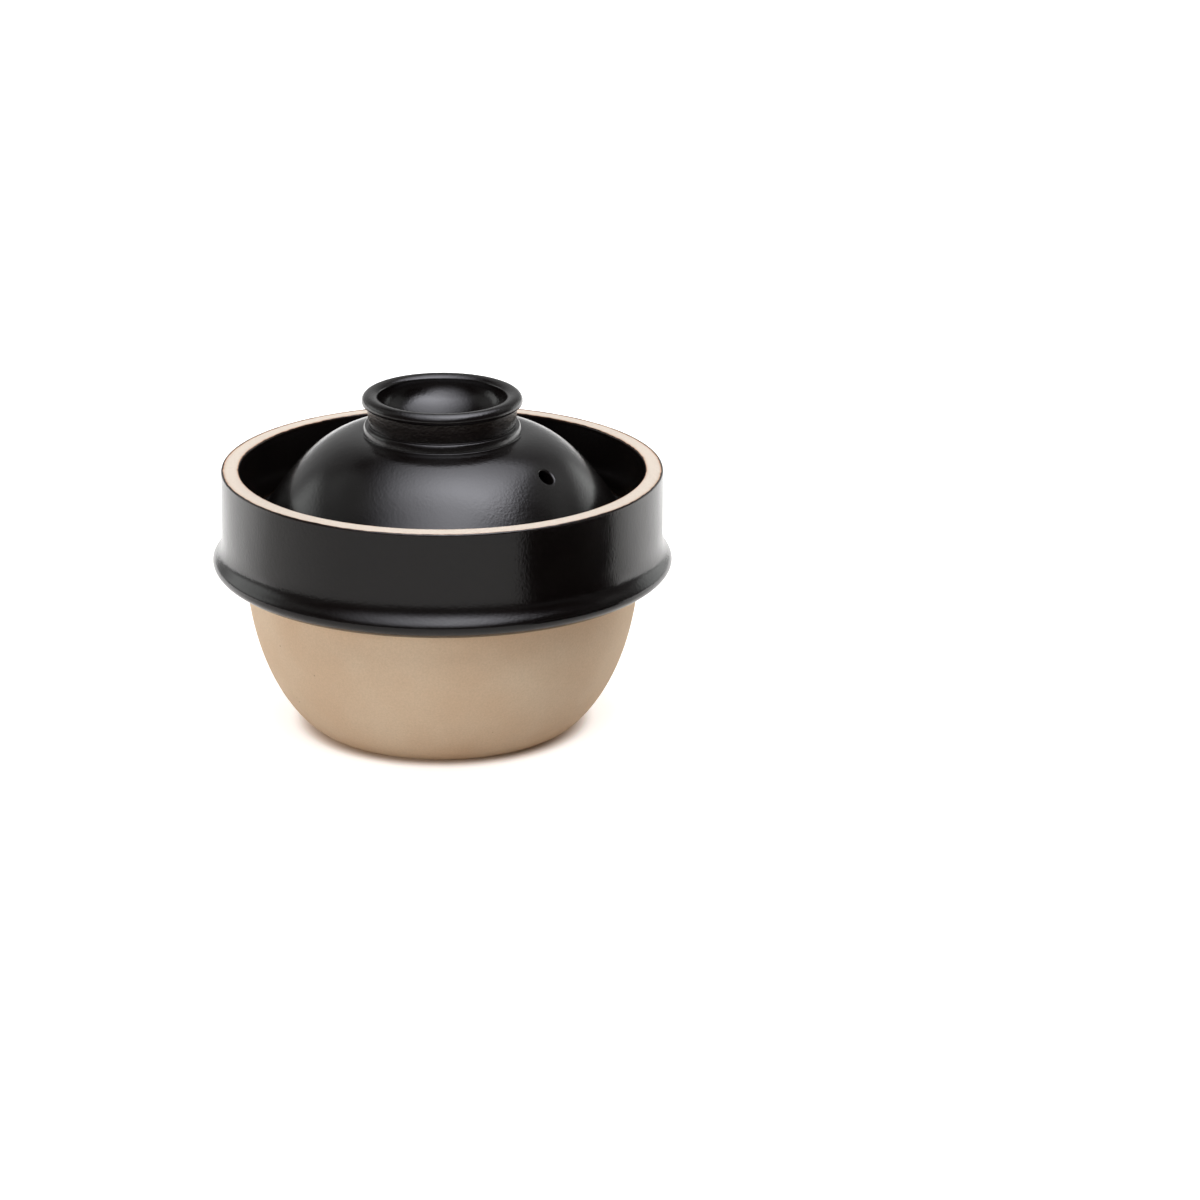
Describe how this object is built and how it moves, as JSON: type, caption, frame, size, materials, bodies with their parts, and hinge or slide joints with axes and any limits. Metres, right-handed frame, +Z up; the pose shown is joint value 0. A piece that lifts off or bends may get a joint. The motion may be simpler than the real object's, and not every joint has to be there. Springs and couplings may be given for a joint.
{
  "type": "donabe rice pot",
  "caption": "Round-bellied stoneware rice pot with a deep glazed collar, a thick flange and a domed lid with a ring knob and a steam vent, set down inside the collar.",
  "frame": {"origin": "centre of the flat ring that the pot stands on, on the table", "axes": "+Z up along the pot's turning axis; -Y towards the viewer of the picture; the steam vent lies 38.7 degrees from +X towards -Y"},
  "size_m": [0.17, 0.17, 0.1259],
  "materials": {
    "pot": "bare sand-coloured stoneware below, black glaze from the flange up and inside",
    "lid": "black satin glaze"
  },
  "bodies": {
    "pot": {"pot": "pot"},
    "lid": {"lid": "lid"}
  },
  "joints": [
    {"name": "lid_lift", "type": "slide", "parent": "pot", "child": "lid", "axis": [0, 0, 1], "range_m": [0, 0.1]}
  ]
}
